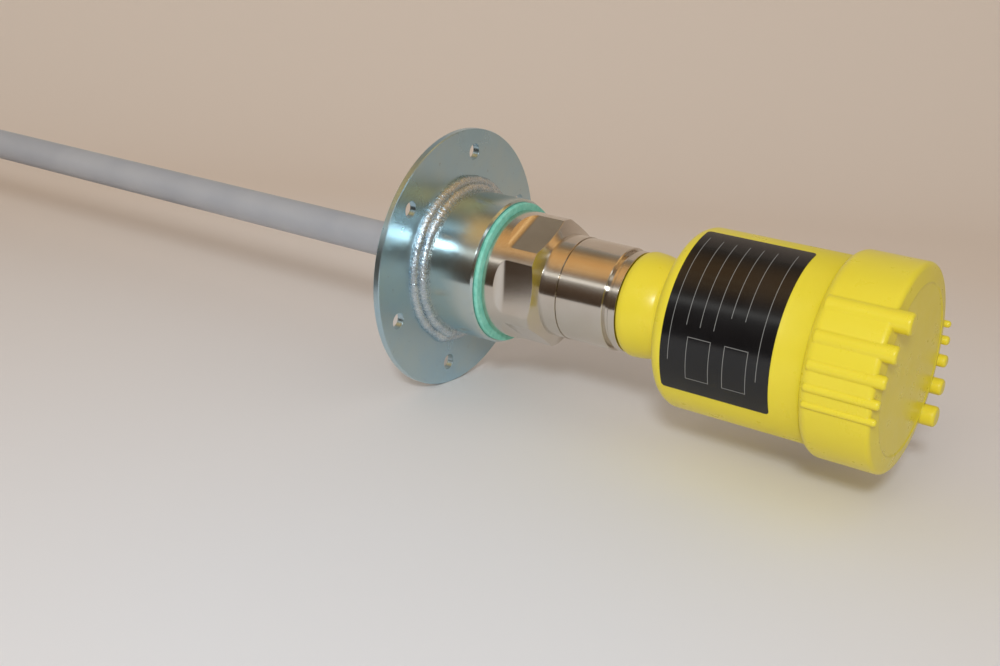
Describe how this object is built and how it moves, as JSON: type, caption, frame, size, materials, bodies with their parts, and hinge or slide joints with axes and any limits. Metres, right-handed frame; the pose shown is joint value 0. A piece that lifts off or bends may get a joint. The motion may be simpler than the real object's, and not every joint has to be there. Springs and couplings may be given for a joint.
{
  "type": "capacitive level probe",
  "caption": "Insulated rod level probe with hex process fitting in a welded bolt flange and a turnable round plastic housing with a ribbed screw lid.",
  "frame": {"origin": "centre of the flange's underside, the face that is bolted to the vessel", "axes": "+Z along the rod's axis towards the lid, -Y towards the middle of the nameplate"},
  "size_m": [0.115, 0.117, 0.6796],
  "materials": {
    "zinc_plated_steel": "satin, zinc plated",
    "weld_metal": "rippled weld, plated over",
    "gasket": "matte",
    "stainless_steel": "fine turned",
    "ptfe": "smooth, slightly translucent",
    "spring_steel": "satin",
    "brass": "turned",
    "black_rubber": "matte",
    "yellow_plastic": "satin moulded",
    "nameplate_film": "glossy",
    "black_plastic": "satin moulded",
    "board_laminate": "satin",
    "terminal_plastic": "satin moulded"
  },
  "bodies": {
    "probe": {"flange_plate": "zinc_plated_steel", "threaded_collar": "zinc_plated_steel", "weld_bead": "weld_metal", "seal_ring": "gasket", "process_fitting": "stainless_steel", "rod_insulation": "ptfe", "rod_core": "stainless_steel", "sealing_cone": "ptfe", "thrust_washer": "stainless_steel", "disc_spring_lower": "spring_steel", "disc_spring_upper": "spring_steel", "packing_nut": "stainless_steel", "contact_pin": "brass", "neck_sleeve": "stainless_steel", "feedthrough_bush": "ptfe", "neck_o_ring": "black_rubber", "stop_pin": "stainless_steel", "swivel_washer": "stainless_steel", "retaining_ring": "spring_steel"},
    "housing": {"housing_body": "yellow_plastic", "nameplate": "nameplate_film", "electronics_cup": "black_plastic", "circuit_board": "board_laminate", "contact_socket": "brass", "terminal_plate": "black_plastic", "terminal_block": "terminal_plastic", "terminal_screws": "zinc_plated_steel", "electronics_screws": "zinc_plated_steel", "inner_ground_terminal": "brass", "gland_gasket": "black_rubber", "plug_gasket": "black_rubber", "gland_body": "black_plastic", "blind_plug": "black_plastic", "ground_clamp": "stainless_steel", "ground_screw": "stainless_steel"},
    "gland_seal": {"gland_seal": "black_rubber"},
    "gland_cap": {"gland_cap": "black_plastic"},
    "lid_seal": {"lid_seal": "black_rubber"},
    "lid": {"housing_lid": "yellow_plastic"}
  },
  "joints": [
    {"name": "housing_swivel", "type": "hinge", "parent": "probe", "child": "housing", "pos_m": [0, 0, 0.1], "axis": [0, 0, 1], "range_deg": [-165, 165]},
    {"name": "lid_lift", "type": "slide", "parent": "housing", "child": "lid_seal", "axis": [0, 0, 1], "range_m": [0, 0.018]},
    {"name": "lid_turn", "type": "hinge", "parent": "lid_seal", "child": "lid", "pos_m": [0, 0, 0.19], "axis": [0, 0, 1], "range_deg": [0, 2160]},
    {"name": "gland_slide", "type": "slide", "parent": "housing", "child": "gland_seal", "axis": [-0.4226, 0.9063, 0], "range_m": [0, 0.009]},
    {"name": "gland_turn", "type": "hinge", "parent": "gland_seal", "child": "gland_cap", "pos_m": [0, 0, 0.16], "axis": [-0.4226, 0.9063, 0], "range_deg": [0, 2160]}
  ],
  "couplings": [
    {"joint": "lid_lift", "follows": "lid_turn", "m_per_rad": 0.00047746},
    {"joint": "gland_slide", "follows": "gland_turn", "m_per_rad": 0.00023873}
  ]
}
